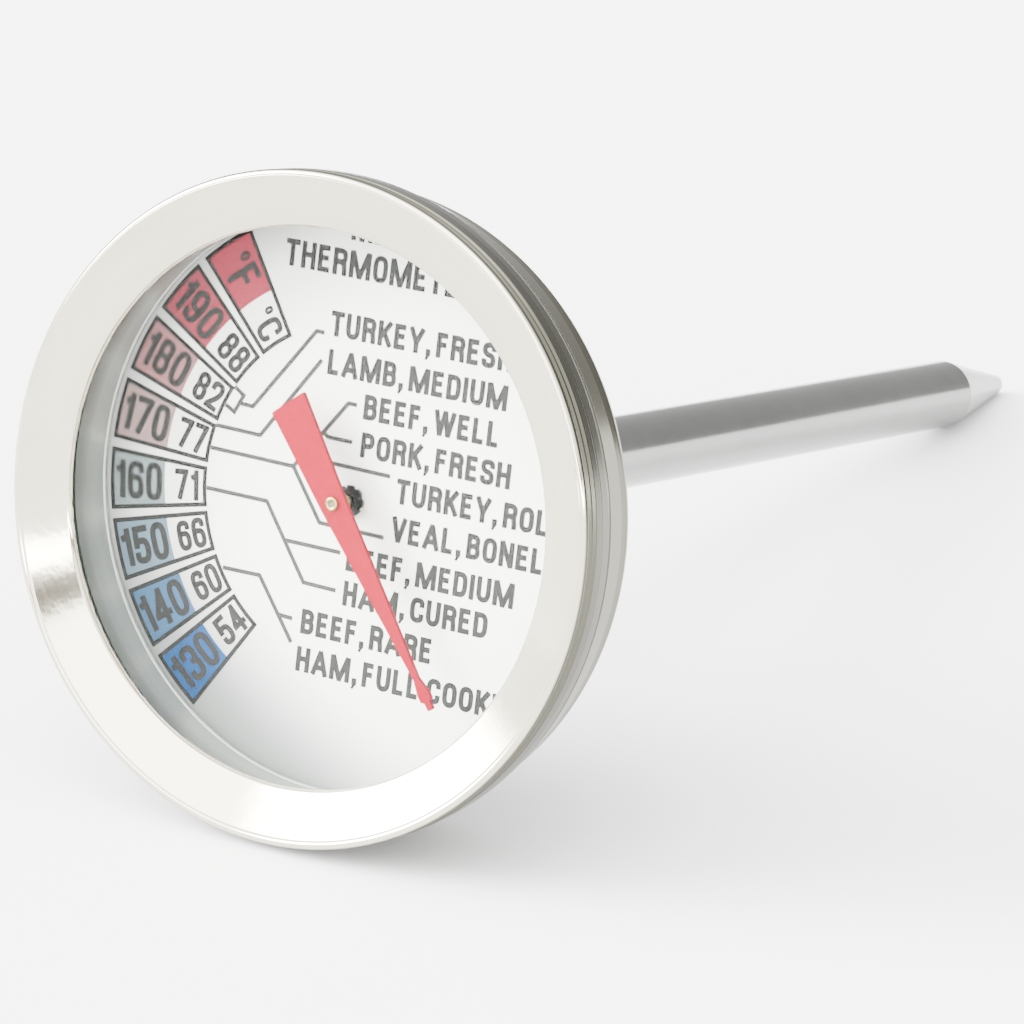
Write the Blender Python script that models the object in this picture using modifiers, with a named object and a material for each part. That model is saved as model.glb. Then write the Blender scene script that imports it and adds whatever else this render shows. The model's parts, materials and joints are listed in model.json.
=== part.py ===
"""Dial meat thermometer: a two inch round head on a probe stem, lying on a table on its rim and its stem.

Turned pieces are drawn as (radius, depth) points in millimetres. Depth runs from the front plane of the
bezel back along the stem. Every piece hangs on the empty dial_frame, whose +Z looks out of the dial and
whose +Y points to the top of the dial. A profile runs down its outer side and up its inner side.
"""

import math

import bpy

MM = 0.001
OBJECT_NAME = "meat_thermometer"

# Fits between neighbouring pieces
GAP = 0.3
SHAFT_CLEARANCE = 0.07

# Head
RIM_RADIUS = 25.4
BEAD_RADIUS = 0.65
LAND_INNER_RADIUS = 24.0
WINDOW_RADIUS = 20.75
WINDOW_DEPTH = 1.09
SHEET = 0.45
SKIRT_TOP_RADIUS = 24.6
SKIRT_TOP_DEPTH = 1.65
SKIRT_FOOT_RADIUS = 24.4
SKIRT_FOOT_DEPTH = 3.9

LENS_RADIUS = 22.8
LENS_DEPTH = 2.2
LENS_THICKNESS = 1.2

REFLECTOR_TOP_RADIUS = 21.3
REFLECTOR_FOOT_RADIUS = 22.4
REFLECTOR_FOOT_DEPTH = 7.6

DIAL_DEPTH = 8.19
DIAL_THICKNESS = 0.5
DIAL_RADIUS = 22.6
DIAL_HOLE_RADIUS = 0.9

CASE_NECK_RADIUS = 23.7
CASE_NECK_TOP = 1.35
CASE_SHOULDER_RADIUS = 24.2
CASE_WAIST_RADIUS = 23.6
CASE_CORNER_RADIUS = 3.75
CASE_CORNER_CENTRE = (19.8, 8.05)
CASE_WALL = 0.6
CASE_BORE_RADIUS = 23.15
CASE_RECESS_RADIUS = 7.2
CASE_RECESS_DEPTH = 0.3
CASE_HOLE_RADIUS = 4.7

# Stem
OVERALL_LENGTH = 118.8
STEM_RADIUS = 3.0
STEM_BORE_RADIUS = 2.4
STEM_TOP_DEPTH = 9.2
CONE_DEPTH = 107.2
TIP_SHOULDER_DEPTH = 106.9
TIP_RADIUS = 0.9
SPIGOT_LENGTH = 2.5

BUSH_NECK_RADIUS = 4.4
BUSH_COLLAR_RADIUS = 6.5
BUSH_COLLAR_THICKNESS = 1.6
BUSH_FOOT_DEPTH = 18.0
NUT_ACROSS_FLATS = 11.0
NUT_THICKNESS = 0.9
WASHER_RADIUS = 6.8
WASHER_THICKNESS = 0.4

# Moving pieces
POINTER_DEPTH = 5.42
POINTER_THICKNESS = 0.35
POINTER_ANGLE = 307.5
SHAFT_RADIUS = 0.5
PIVOT_RADIUS = 0.21
SHAFT_END_DEPTH = 68.7
COLLAR_TOP_DEPTH = 66.0
COLLAR_LENGTH = 3.0
COLLAR_RADIUS = 1.5

# Bimetal coil
COIL_RADIUS = 1.55
COIL_WIRE_RADIUS = 0.2
COIL_TOP_DEPTH = 69.5
COIL_FOOT_DEPTH = 100.5
COIL_TURNS = 10
POINTS_PER_TURN = 12

# Facets of the turned pieces; each has a flat at the bottom, at the true radius
HEAD_SEGMENTS = 32
BUSH_SEGMENTS = 24
STEM_SEGMENTS = 12

MATERIALS = {
    # name: (colour, metallic, roughness)
    "satin_steel": ((0.74, 0.73, 0.71, 1.0), 1.0, 0.32),
    "drawn_steel": ((0.60, 0.60, 0.60, 1.0), 1.0, 0.30),
    "clear_glass": ((0.95, 0.97, 0.98, 0.3), 0.0, 0.05),
    "reflector_metal": ((0.55, 0.55, 0.55, 1.0), 1.0, 0.45),
    "dial_metal": ((0.70, 0.71, 0.72, 1.0), 0.6, 0.45),
    "pointer_paint": ((0.85, 0.22, 0.24, 1.0), 0.0, 0.40),
    "eyelet_brass": ((0.80, 0.58, 0.28, 1.0), 1.0, 0.35),
    "seal_rubber": ((0.05, 0.05, 0.05, 1.0), 0.0, 0.80),
    "turned_steel": ((0.62, 0.62, 0.64, 1.0), 1.0, 0.40),
    "bearing_brass": ((0.74, 0.56, 0.30, 1.0), 1.0, 0.45),
    "bimetal_strip": ((0.66, 0.58, 0.48, 1.0), 1.0, 0.35),
}


def arc(centre, radius, start, end, steps):
    """Points on an arc of a profile; angles in degrees, from outwards (0) towards the tip (90)."""
    points = []
    for step in range(steps + 1):
        angle = math.radians(start + (end - start) * step / steps)
        points.append((centre[0] + radius * math.cos(angle), centre[1] + radius * math.sin(angle)))
    return points


def circle(radius, points):
    """A round outline, for a hole or a disc."""
    turns = [2 * math.pi * index / points for index in range(points)]
    return [(radius * math.cos(turn), radius * math.sin(turn)) for turn in turns]


def ring(inner, outer, top, thickness):
    """The profile of a flat ring."""
    return [(outer, top), (outer, top + thickness), (inner, top + thickness), (inner, top)]


def bezel_profile():
    """Rolled bezel: a dished annulus, a bead at the rim and a skirt over the case."""
    bead_centre = (RIM_RADIUS - BEAD_RADIUS, BEAD_RADIUS)
    front = [(WINDOW_RADIUS, WINDOW_DEPTH), (LAND_INNER_RADIUS, 0.0)]
    bead = arc(bead_centre, BEAD_RADIUS, -90, 90, 8)
    skirt = [
        (SKIRT_TOP_RADIUS, SKIRT_TOP_DEPTH),
        (SKIRT_FOOT_RADIUS, SKIRT_FOOT_DEPTH),
        (SKIRT_FOOT_RADIUS - SHEET, SKIRT_FOOT_DEPTH),
        (SKIRT_TOP_RADIUS - SHEET, SKIRT_TOP_DEPTH - SHEET / 2),
    ]
    underside = [(LAND_INNER_RADIUS - SHEET / 4, SHEET), (WINDOW_RADIUS, WINDOW_DEPTH + SHEET)]
    return front + bead + skirt + underside


def gasket_profile():
    """Wedge section seal between the dished annulus and the lens."""
    slope = WINDOW_DEPTH / (LAND_INNER_RADIUS - WINDOW_RADIUS)
    inner = WINDOW_RADIUS + SHEET
    foot = LENS_DEPTH - GAP
    crown = WINDOW_DEPTH + SHEET + GAP
    outer_top = crown - slope * (LENS_RADIUS - WINDOW_RADIUS)
    inner_top = crown - slope * (inner - WINDOW_RADIUS)
    return [(LENS_RADIUS, outer_top), (LENS_RADIUS, foot), (inner, foot), (inner, inner_top)]


def reflector_profile():
    """Conical sleeve between the lens and the dial, with a flange under the lens."""
    top = LENS_DEPTH + LENS_THICKNESS + GAP
    foot = DIAL_DEPTH - GAP
    wall = 0.5
    return [
        (LENS_RADIUS, top),
        (LENS_RADIUS, top + wall),
        (REFLECTOR_TOP_RADIUS + 1.3 * wall, top + wall),
        (REFLECTOR_FOOT_RADIUS + 0.7 * wall, REFLECTOR_FOOT_DEPTH - wall / 2),
        (REFLECTOR_FOOT_RADIUS + 0.7 * wall, foot),
        (REFLECTOR_FOOT_RADIUS, foot),
        (REFLECTOR_FOOT_RADIUS, REFLECTOR_FOOT_DEPTH),
        (REFLECTOR_TOP_RADIUS, top),
    ]


def back_depth():
    """Depth of the flat back of the case."""
    return CASE_CORNER_CENTRE[1] + CASE_CORNER_RADIUS


def case_profile():
    """Drawn cup: a neck inside the bezel, a shoulder, a rounded corner and a flat back with a recess."""
    shoulder = SKIRT_FOOT_DEPTH + GAP
    back = back_depth()
    floor = back - CASE_WALL
    outer_corner = arc(CASE_CORNER_CENTRE, CASE_CORNER_RADIUS, 0, 90, 6)
    inner_corner = arc(CASE_CORNER_CENTRE, CASE_CORNER_RADIUS - CASE_WALL, 90, 0, 6)
    outside = [
        (CASE_NECK_RADIUS, CASE_NECK_TOP),
        (CASE_NECK_RADIUS, shoulder),
        (CASE_SHOULDER_RADIUS, shoulder),
        (CASE_WAIST_RADIUS, CASE_CORNER_CENTRE[1] - GAP),
    ]
    hub = [
        (CASE_RECESS_RADIUS, back),
        (CASE_RECESS_RADIUS, back - CASE_RECESS_DEPTH),
        (CASE_HOLE_RADIUS, back - CASE_RECESS_DEPTH),
        (CASE_HOLE_RADIUS, floor - CASE_RECESS_DEPTH),
        (CASE_RECESS_RADIUS + CASE_WALL, floor - CASE_RECESS_DEPTH),
        (CASE_RECESS_RADIUS + 1.5 * CASE_WALL, floor),
    ]
    inside = [(CASE_BORE_RADIUS, shoulder), (CASE_BORE_RADIUS, CASE_NECK_TOP)]
    return outside + outer_corner + hub + inner_corner + inside


def bush_profile():
    """Stem head: a neck through the case, a round collar against its back and a sleeve on the stem."""
    collar_top = back_depth()
    collar_foot = collar_top + BUSH_COLLAR_THICKNESS
    neck_top = DIAL_DEPTH + DIAL_THICKNESS + GAP
    bore = STEM_RADIUS + GAP + 0.05
    chamfer = 0.5
    return [
        (BUSH_NECK_RADIUS, neck_top),
        (BUSH_NECK_RADIUS, collar_top),
        (BUSH_COLLAR_RADIUS, collar_top),
        (BUSH_COLLAR_RADIUS, collar_foot - chamfer),
        (BUSH_COLLAR_RADIUS - chamfer, collar_foot),
        (BUSH_NECK_RADIUS, collar_foot),
        (BUSH_NECK_RADIUS, BUSH_FOOT_DEPTH - chamfer),
        (BUSH_NECK_RADIUS - chamfer, BUSH_FOOT_DEPTH),
        (bore, BUSH_FOOT_DEPTH),
        (bore, neck_top),
    ]


def tip_profile():
    """Solid point: a spigot in the tube, a short land, a cone and a rounded end."""
    plug = STEM_BORE_RADIUS - GAP
    top = TIP_SHOULDER_DEPTH - SPIGOT_LENGTH
    nose_centre = (0.0, OVERALL_LENGTH - TIP_RADIUS)
    cone_angle = math.degrees(math.atan((STEM_RADIUS - TIP_RADIUS) / (nose_centre[1] - CONE_DEPTH)))
    spigot = [(0.0, top), (plug, top), (plug, TIP_SHOULDER_DEPTH)]
    shoulder = [(STEM_RADIUS, TIP_SHOULDER_DEPTH), (STEM_RADIUS, CONE_DEPTH)]
    nose = arc(nose_centre, TIP_RADIUS, cone_angle, 90, 5)
    return spigot + shoulder + nose[:-1] + [(0.0, OVERALL_LENGTH)]


def shaft_profile():
    """Pointer shaft: a fine pivot through the hub, then a plain rod down to the coil."""
    pivot_top = POINTER_DEPTH - 0.17
    shoulder = DIAL_DEPTH - 1.09
    return [
        (0.0, pivot_top),
        (PIVOT_RADIUS, pivot_top),
        (PIVOT_RADIUS, shoulder),
        (SHAFT_RADIUS, shoulder),
        (SHAFT_RADIUS, SHAFT_END_DEPTH),
        (0.0, SHAFT_END_DEPTH),
    ]


def hub_profile():
    """Brass eyelet that rivets the pointer to its shaft: a small head, a barrel and a boss below."""
    head_radius = 0.53
    barrel_radius = 0.40
    boss_radius = 0.90
    bore = PIVOT_RADIUS + SHAFT_CLEARANCE
    head_top = POINTER_DEPTH - 0.22
    under_head = POINTER_DEPTH - 0.05
    boss_top = POINTER_DEPTH + POINTER_THICKNESS + 0.05
    boss_foot = DIAL_DEPTH - 1.19
    return [
        (head_radius, head_top),
        (head_radius, under_head),
        (barrel_radius, under_head),
        (barrel_radius, boss_top),
        (boss_radius, boss_top),
        (boss_radius, boss_foot),
        (bore, boss_foot),
        (bore, head_top),
    ]


def pointer_outline():
    """Half-width of the pointer along its length, from the counterweight tail to the blunt tip."""
    stations = [
        (-8.30, 1.56),
        (0.00, 1.15),
        (14.50, 0.225),
        (15.70, 0.50),
        (16.30, 0.50),
        (16.36, 0.25),
        (17.05, 0.25),
    ]
    lower = [(along, -half) for along, half in stations]
    upper = [(along, half) for along, half in reversed(stations)]
    return lower + upper


def star_outline(teeth, outer, root):
    """Toothed edge of a lock washer: four points for each tooth."""
    points = []
    for index in range(4 * teeth):
        radius = outer if index % 4 < 2 else root
        angle = 2 * math.pi * (index + 0.5) / (4 * teeth)
        points.append((radius * math.cos(angle), radius * math.sin(angle)))
    return points


def reach(profile, tilt):
    """How far below the centre of the front plane a turned piece reaches when the stem dips by tilt."""
    return max(radius * math.cos(tilt) + depth * math.sin(tilt) for radius, depth in profile)


def resting_tilt():
    """Dip of the stem at which the bezel's bead and the end of the stem touch the table together."""
    low = 0.0
    high = math.radians(30)
    for _ in range(60):
        middle = (low + high) / 2
        if reach(bezel_profile(), middle) > reach(tip_profile(), middle):
            low = middle
        else:
            high = middle
    return (low + high) / 2


def make_material(name):
    """A Principled material from the table."""
    colour, metallic, roughness = MATERIALS[name]
    material = bpy.data.materials.new(name)
    material.use_nodes = True
    shader = material.node_tree.nodes["Principled BSDF"]
    shader.inputs["Base Color"].default_value = colour
    shader.inputs["Metallic"].default_value = metallic
    shader.inputs["Roughness"].default_value = roughness
    shader.inputs["Alpha"].default_value = colour[3]
    material.diffuse_color = colour
    return material


def place(name, data, material_name, depth=0.0, angle=0.0):
    """Put one piece on the dial frame, at a depth and turned about the axis of the head."""
    piece = bpy.data.objects.new(name, data)
    piece.parent = dial_frame
    piece.location = (0.0, 0.0, -depth * MM)
    piece.rotation_euler = (0.0, 0.0, angle)
    piece.data.materials.append(materials[material_name])
    collection.objects.link(piece)
    return piece


def turned(name, profile, material_name, segments):
    """A turned piece from its profile: closed round a bore, or open where it starts and ends on the axis."""
    flat_scale = MM / math.cos(math.pi / segments)
    mesh = bpy.data.meshes.new(name)
    vertices = [(radius * flat_scale, 0.0, -depth * MM) for radius, depth in profile]
    edges = [(index, index + 1) for index in range(len(profile) - 1)]
    if profile[0][0] > 0.0:
        edges.append((len(profile) - 1, 0))
    mesh.from_pydata(vertices, edges, [])
    piece = place(name, mesh, material_name, angle=math.pi / segments)
    screw = piece.modifiers.new("Screw", "SCREW")
    screw.axis = "Z"
    screw.angle = 2 * math.pi
    screw.steps = segments
    screw.render_steps = segments
    screw.use_merge_vertices = True
    screw.merge_threshold = 0.000001
    return piece


def plate(name, outlines, material_name, top, thickness, angle=0.0):
    """A flat piece cut from sheet: its outer outline first, then its holes."""
    curve = bpy.data.curves.new(name, "CURVE")
    curve.dimensions = "2D"
    curve.fill_mode = "BOTH"
    curve.extrude = thickness * MM / 2
    for outline in outlines:
        spline = curve.splines.new("POLY")
        spline.points.add(len(outline) - 1)
        for point, (x, y) in zip(spline.points, outline):
            point.co = (x * MM, y * MM, 0.0, 1.0)
        spline.use_cyclic_u = True
    return place(name, curve, material_name, depth=top + thickness / 2, angle=angle)


def coil(name, material_name):
    """The bimetal strip, wound as a helix about the stem's axis."""
    count = COIL_TURNS * POINTS_PER_TURN + 1
    curve = bpy.data.curves.new(name, "CURVE")
    curve.dimensions = "3D"
    curve.bevel_depth = COIL_WIRE_RADIUS * MM
    curve.bevel_resolution = 2
    curve.use_fill_caps = True
    spline = curve.splines.new("POLY")
    spline.points.add(count - 1)
    for index, point in enumerate(spline.points):
        turn = 2 * math.pi * index / POINTS_PER_TURN
        depth = COIL_TOP_DEPTH + (COIL_FOOT_DEPTH - COIL_TOP_DEPTH) * index / (count - 1)
        x = COIL_RADIUS * math.cos(turn)
        y = COIL_RADIUS * math.sin(turn)
        point.co = (x * MM, y * MM, -depth * MM, 1.0)
    return place(name, curve, material_name)


def shade(piece):
    """Give a turned piece smooth round faces and sharp corners, with its modifier taken into its mesh."""
    graph = bpy.context.evaluated_depsgraph_get()
    mesh = bpy.data.meshes.new_from_object(piece.evaluated_get(graph))
    mesh.name = piece.name
    mesh.shade_smooth()
    mesh.set_sharp_from_angle(angle=math.radians(35))
    piece.modifiers.clear()
    piece.data = mesh


def build_head():
    """The pieces of the head that stay still, from the front to the back."""
    turned("bezel", bezel_profile(), "satin_steel", HEAD_SEGMENTS)
    turned("lens_gasket", gasket_profile(), "seal_rubber", HEAD_SEGMENTS)
    lens = [(0.0, LENS_DEPTH), (LENS_RADIUS, LENS_DEPTH)]
    lens += [(LENS_RADIUS, LENS_DEPTH + LENS_THICKNESS), (0.0, LENS_DEPTH + LENS_THICKNESS)]
    turned("lens", lens, "clear_glass", HEAD_SEGMENTS)
    turned("reflector_ring", reflector_profile(), "reflector_metal", HEAD_SEGMENTS)
    dial = ring(DIAL_HOLE_RADIUS, DIAL_RADIUS, DIAL_DEPTH, DIAL_THICKNESS)
    turned("dial_plate", dial, "dial_metal", HEAD_SEGMENTS)
    star = [star_outline(8, 1.2, 0.95), circle(0.7, 16)]
    star_thickness = 0.25
    plate("dial_lock_washer", star, "turned_steel", DIAL_DEPTH - GAP - star_thickness, star_thickness)
    turned("case_back", case_profile(), "satin_steel", HEAD_SEGMENTS)


def build_stem():
    """The bush that joins the head to the stem, its nut and washer, the tube and its point."""
    turned("stem_head", bush_profile(), "turned_steel", BUSH_SEGMENTS)
    floor = back_depth() - CASE_WALL - CASE_RECESS_DEPTH
    washer_top = floor - GAP - WASHER_THICKNESS
    washer = ring(CASE_HOLE_RADIUS, WASHER_RADIUS, washer_top, WASHER_THICKNESS)
    turned("stem_head_washer", washer, "turned_steel", BUSH_SEGMENTS)
    nut_radius = NUT_ACROSS_FLATS / 2 / math.cos(math.pi / 6)
    nut = [circle(nut_radius, 6), circle(CASE_HOLE_RADIUS, BUSH_SEGMENTS)]
    plate("stem_lock_nut", nut, "turned_steel", washer_top - GAP - NUT_THICKNESS, NUT_THICKNESS)
    tube_length = TIP_SHOULDER_DEPTH - GAP - STEM_TOP_DEPTH
    tube = ring(STEM_BORE_RADIUS, STEM_RADIUS, STEM_TOP_DEPTH, tube_length)
    turned("stem_tube", tube, "drawn_steel", STEM_SEGMENTS)
    turned("stem_tip", tip_profile(), "drawn_steel", STEM_SEGMENTS)


def build_movement():
    """The pointer, its hub and shaft, the bearings that guide it and the coil that turns it."""
    angle = math.radians(POINTER_ANGLE)
    pointer = [pointer_outline(), circle(0.45, 16)]
    plate("pointer", pointer, "pointer_paint", POINTER_DEPTH, POINTER_THICKNESS, angle)
    turned("pointer_hub", hub_profile(), "eyelet_brass", STEM_SEGMENTS)
    turned("pointer_shaft", shaft_profile(), "drawn_steel", STEM_SEGMENTS)
    plug = STEM_BORE_RADIUS - GAP
    bore = SHAFT_RADIUS + SHAFT_CLEARANCE
    bearings = (
        ("upper_bearing", "bearing_brass", STEM_TOP_DEPTH + GAP, 2.0),
        ("shaft_guide_upper", "turned_steel", 30.0, 1.0),
        ("shaft_guide_lower", "turned_steel", 58.0, 1.0),
    )
    for name, material_name, top, length in bearings:
        turned(name, ring(bore, plug, top, length), material_name, STEM_SEGMENTS)
    collar = ring(SHAFT_RADIUS + GAP, COLLAR_RADIUS, COLLAR_TOP_DEPTH, COLLAR_LENGTH)
    turned("coil_collar", collar, "turned_steel", STEM_SEGMENTS)
    coil("bimetal_coil", "bimetal_strip")
    anchor_top = COIL_FOOT_DEPTH + COIL_WIRE_RADIUS + GAP
    anchor = [(0.0, anchor_top), (plug, anchor_top), (plug, anchor_top + 2.0), (0.0, anchor_top + 2.0)]
    turned("coil_anchor", anchor, "turned_steel", STEM_SEGMENTS)


for old_object in list(bpy.data.objects):
    bpy.data.objects.remove(old_object, do_unlink=True)

collection = bpy.data.collections.new(OBJECT_NAME)
bpy.context.scene.collection.children.link(collection)
materials = {name: make_material(name) for name in MATERIALS}

# The centre of the front plane, placed so that the thermometer stands on z = 0 and is centred on y = 0
tilt = resting_tilt()
height = reach(bezel_profile(), tilt)
front_y = min(depth * math.cos(tilt) - radius * math.sin(tilt) for radius, depth in bezel_profile())
tip_y = max(depth * math.cos(tilt) + radius * math.sin(tilt) for radius, depth in tip_profile())
dial_frame = bpy.data.objects.new("dial_frame", None)
dial_frame.location = (0.0, -(front_y + tip_y) / 2 * MM, height * MM)
dial_frame.rotation_euler = (math.pi / 2 - tilt, 0.0, 0.0)
collection.objects.link(dial_frame)

build_head()
build_stem()
build_movement()
bpy.context.view_layer.update()
for part in [item for item in collection.objects if item.type == "MESH"]:
    shade(part)
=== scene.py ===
"""Looks of the dial meat thermometer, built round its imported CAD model.

Sizes are in millimetres in the dial's own frame: +Z looks out of the dial, +Y points to its top,
and depth runs back from the front plane of the CAD bezel. dial_matrix() gives that frame's place
from the pointer's joint.
"""

import json
import math

import bmesh
import bpy
from mathutils import Matrix, Vector


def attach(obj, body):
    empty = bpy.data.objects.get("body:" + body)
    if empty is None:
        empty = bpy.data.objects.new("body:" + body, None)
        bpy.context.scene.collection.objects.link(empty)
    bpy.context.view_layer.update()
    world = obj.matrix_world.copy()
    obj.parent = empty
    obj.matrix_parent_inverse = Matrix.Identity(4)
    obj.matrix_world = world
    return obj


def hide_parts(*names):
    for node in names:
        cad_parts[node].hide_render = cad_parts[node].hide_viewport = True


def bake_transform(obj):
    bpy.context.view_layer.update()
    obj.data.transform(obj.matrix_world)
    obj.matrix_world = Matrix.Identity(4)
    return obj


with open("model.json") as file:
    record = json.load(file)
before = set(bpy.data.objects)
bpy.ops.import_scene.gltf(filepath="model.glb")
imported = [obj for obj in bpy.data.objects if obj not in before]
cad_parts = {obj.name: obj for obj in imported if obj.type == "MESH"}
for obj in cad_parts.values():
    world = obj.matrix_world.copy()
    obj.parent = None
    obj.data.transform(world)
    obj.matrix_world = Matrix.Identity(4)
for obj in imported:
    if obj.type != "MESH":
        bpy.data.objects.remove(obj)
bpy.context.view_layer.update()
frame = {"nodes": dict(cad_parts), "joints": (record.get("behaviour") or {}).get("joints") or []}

MM = 0.001
CASE = "case"
MOVING = "pointer_assembly"
joint = frame["joints"][0]

# Depths and radii that the pieces share
POINTER_DEPTH = 5.42
DIAL_DEPTH = 8.19
WINDOW_RADIUS = 20.8
SKIRT_RADIUS = 24.75
STEM_RADIUS = 3.0
STEM_LENGTH = 118.8
CONE_DEPTH = 107.2
NOSE_RADIUS = 0.9

# Where the pointer stands at rest, in degrees from the dial's right
POINTER_ANGLE = 307.5

# Meshes: points round a turned piece, support points beside an edge, angles in degrees
ROUND_STEPS = 256
SUPPORT = 0.03
SHARP_ANGLE = 32.0
STRAIGHT_ANGLE = 155.0

# How much the lens mirrors, seen square on and at a grazing angle
LENS_MIRROR = 0.006
LENS_GRAZING = 0.9

# Printed scale; angles in degrees
BOX_INNER = 13.15
BOX_SPLIT = 17.0
BOX_OUTER = 22.0
COLOUR_OUTER = 21.9
BOX_FIRST_ANGLE = 127.9
BOX_PITCH = 14.6
BOX_WIDTH = 13.0
FAHRENHEIT_RADIUS = 19.4
CELSIUS_RADIUS = 14.95
LINE_WIDTH = 0.34
LEADER_WIDTH = 0.33

# Lettering: height, stroke width and gap between letters
HEADING_LETTERS = (2.05, 0.42, 0.19)
LABEL_LETTERS = (1.92, 0.42, 0.19)
FAHRENHEIT_LETTERS = (2.95, 0.52, 0.17)
CELSIUS_LETTERS = (2.35, 0.43, 0.15)

# Shares of a letter's height, then of its stroke width; the smallest cosine a mitre follows
WORD_SPACE = 0.02
BEND_RADIUS = 0.3
THIN_STROKE = 0.55
MITRE_LIMIT = 0.45

# Ink: its thickness, the steps between layers and between strokes that cross, its unevenness
INK = 0.005
LAYER = 0.012
STROKE_STEP = 0.0015
LEADER_STEP = 0.001
INK_SPREAD = 0.12

# Camera
CAMERA_PLACE = (200.44, 71.15, 316.13)
CAMERA_AIM = (0.06, -3.30, -31.96)
CAMERA_ROLL = 6.6
CAMERA_LENS = 182.8


def dial_matrix():
    """The dial's frame, from the axis and place of the pointer's joint."""
    out = -Vector(joint["axis"]).normalized()
    across = Vector((1.0, 0.0, 0.0))
    up = out.cross(across)
    centre = Vector(joint["pos_m"]) + out * POINTER_DEPTH * MM
    matrix = Matrix((across, up, out)).transposed().to_4x4()
    matrix.translation = centre
    return matrix


DIAL = dial_matrix()


# ---------------------------------------------------------------- shapes


def arc(centre, radius, start, end, steps):
    """Points on an arc; in degrees from +x, or in a profile from outwards towards the tip."""
    points = []
    for step in range(steps + 1):
        angle = math.radians(start + (end - start) * step / steps)
        x = centre[0] + radius * math.cos(angle)
        y = centre[1] + radius * math.sin(angle)
        points.append((x, y))
    return points


def circle(radius):
    """The outline of a round hole."""
    return arc((0, 0), radius, 0, 345, 23)


def rounded(points, radius, closed=True, steps=4, share=0.45, even=True):
    """The same outline with its corners rounded; a corner takes at most that share of its runs."""
    result = []
    count = len(points)
    for index, corner in enumerate(points):
        corner = Vector(corner)
        if not closed and index in (0, count - 1):
            result.append(tuple(corner))
            continue
        before = Vector(points[index - 1]) - corner
        after = Vector(points[(index + 1) % count]) - corner
        if before.angle(after) > math.radians(STRAIGHT_ANGLE):
            result.append(tuple(corner))
            continue
        cuts = [min(radius, share * before.length), min(radius, share * after.length)]
        if even:
            cuts = [min(cuts)] * 2
        start = corner + before.normalized() * cuts[0]
        end = corner + after.normalized() * cuts[1]
        for step in range(steps + 1):
            t = step / steps
            result.append(tuple(start * (1 - t) ** 2 + corner * 2 * t * (1 - t) + end * t**2))
    return result


def mesh_piece(name, mesh_data, body, material):
    """Put a bmesh, in the dial's frame, into the scene; a piece without a body is left unattached.
    """
    mesh = bpy.data.meshes.new(name)
    mesh_data.to_mesh(mesh)
    mesh_data.free()
    mesh.shade_smooth()
    mesh.set_sharp_from_angle(angle=math.radians(SHARP_ANGLE))
    mesh.materials.append(material)
    piece = bpy.data.objects.new(name, mesh)
    piece.matrix_world = DIAL
    bpy.context.scene.collection.objects.link(piece)
    if body:
        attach(piece, body)
    return piece


def supported(profile, closed):
    """The same profile with points added near the ends of long runs, so that flats look flat."""
    result = []
    follow = profile[1:] + profile[:1]
    for index, (first, second) in enumerate(zip(profile, follow)):
        result.append(first)
        run = Vector(second) - Vector(first)
        if run.length < 6 * SUPPORT or (not closed and index == len(profile) - 1):
            continue
        step = run.normalized() * SUPPORT
        result += [tuple(Vector(first) + step), tuple(Vector(second) - step)]
    return result


def turned(name, profile, body, material, steps=ROUND_STEPS):
    """A turned piece from (radius, depth) points: a closed profile, or one between axis points."""
    data = bmesh.new()
    closed = profile[0][0] > 0.0
    rings = []
    for radius, depth in supported(profile, closed):
        if radius <= 0.0:
            rings.append([data.verts.new((0.0, 0.0, -depth * MM))] * steps)
            continue
        ring = []
        for step in range(steps):
            turn = 2 * math.pi * step / steps
            x = radius * math.cos(turn)
            y = radius * math.sin(turn)
            ring.append(data.verts.new((x * MM, y * MM, -depth * MM)))
        rings.append(ring)
    pairs = list(zip(rings, rings[1:]))
    if closed:
        pairs.append((rings[-1], rings[0]))
    for upper, lower in pairs:
        for step in range(steps):
            following = (step + 1) % steps
            corners = [upper[step], lower[step], lower[following], upper[following]]
            data.faces.new(list(dict.fromkeys(corners)))
    bmesh.ops.recalc_face_normals(data, faces=data.faces)
    return mesh_piece(name, data, body, material)


def flat_mesh(outlines, thickness):
    """The mesh of a flat piece cut from sheet, lying in z = 0 and rising by its thickness."""
    curve = bpy.data.curves.new("outline", "CURVE")
    curve.dimensions = "2D"
    curve.fill_mode = "BOTH"
    curve.extrude = thickness * MM / 2
    for outline in outlines:
        spline = curve.splines.new("POLY")
        spline.points.add(len(outline) - 1)
        for point, (x, y) in zip(spline.points, outline):
            point.co = (x * MM, y * MM, 0.0, 1.0)
        spline.use_cyclic_u = True
    return curve_mesh(curve, thickness)


def curve_mesh(curve, thickness):
    """Turn a filled curve into a closed bmesh that rises from z = 0, and remove the curve."""
    carrier = bpy.data.objects.new("carrier", curve)
    bpy.context.scene.collection.objects.link(carrier)
    graph = bpy.context.evaluated_depsgraph_get()
    mesh = bpy.data.meshes.new_from_object(carrier.evaluated_get(graph))
    bpy.data.objects.remove(carrier)
    data = bmesh.new()
    data.from_mesh(mesh)
    bpy.data.meshes.remove(mesh)
    bmesh.ops.remove_doubles(data, verts=data.verts, dist=1e-7)
    bmesh.ops.translate(data, verts=data.verts, vec=(0.0, 0.0, thickness * MM / 2))
    return data


def lowered(depth, angle=0.0):
    """Down the dial's axis to a depth, and turned about it by degrees."""
    place = Matrix.Translation((0.0, 0.0, -depth * MM))
    return place @ Matrix.Rotation(math.radians(angle), 4, "Z")


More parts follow.
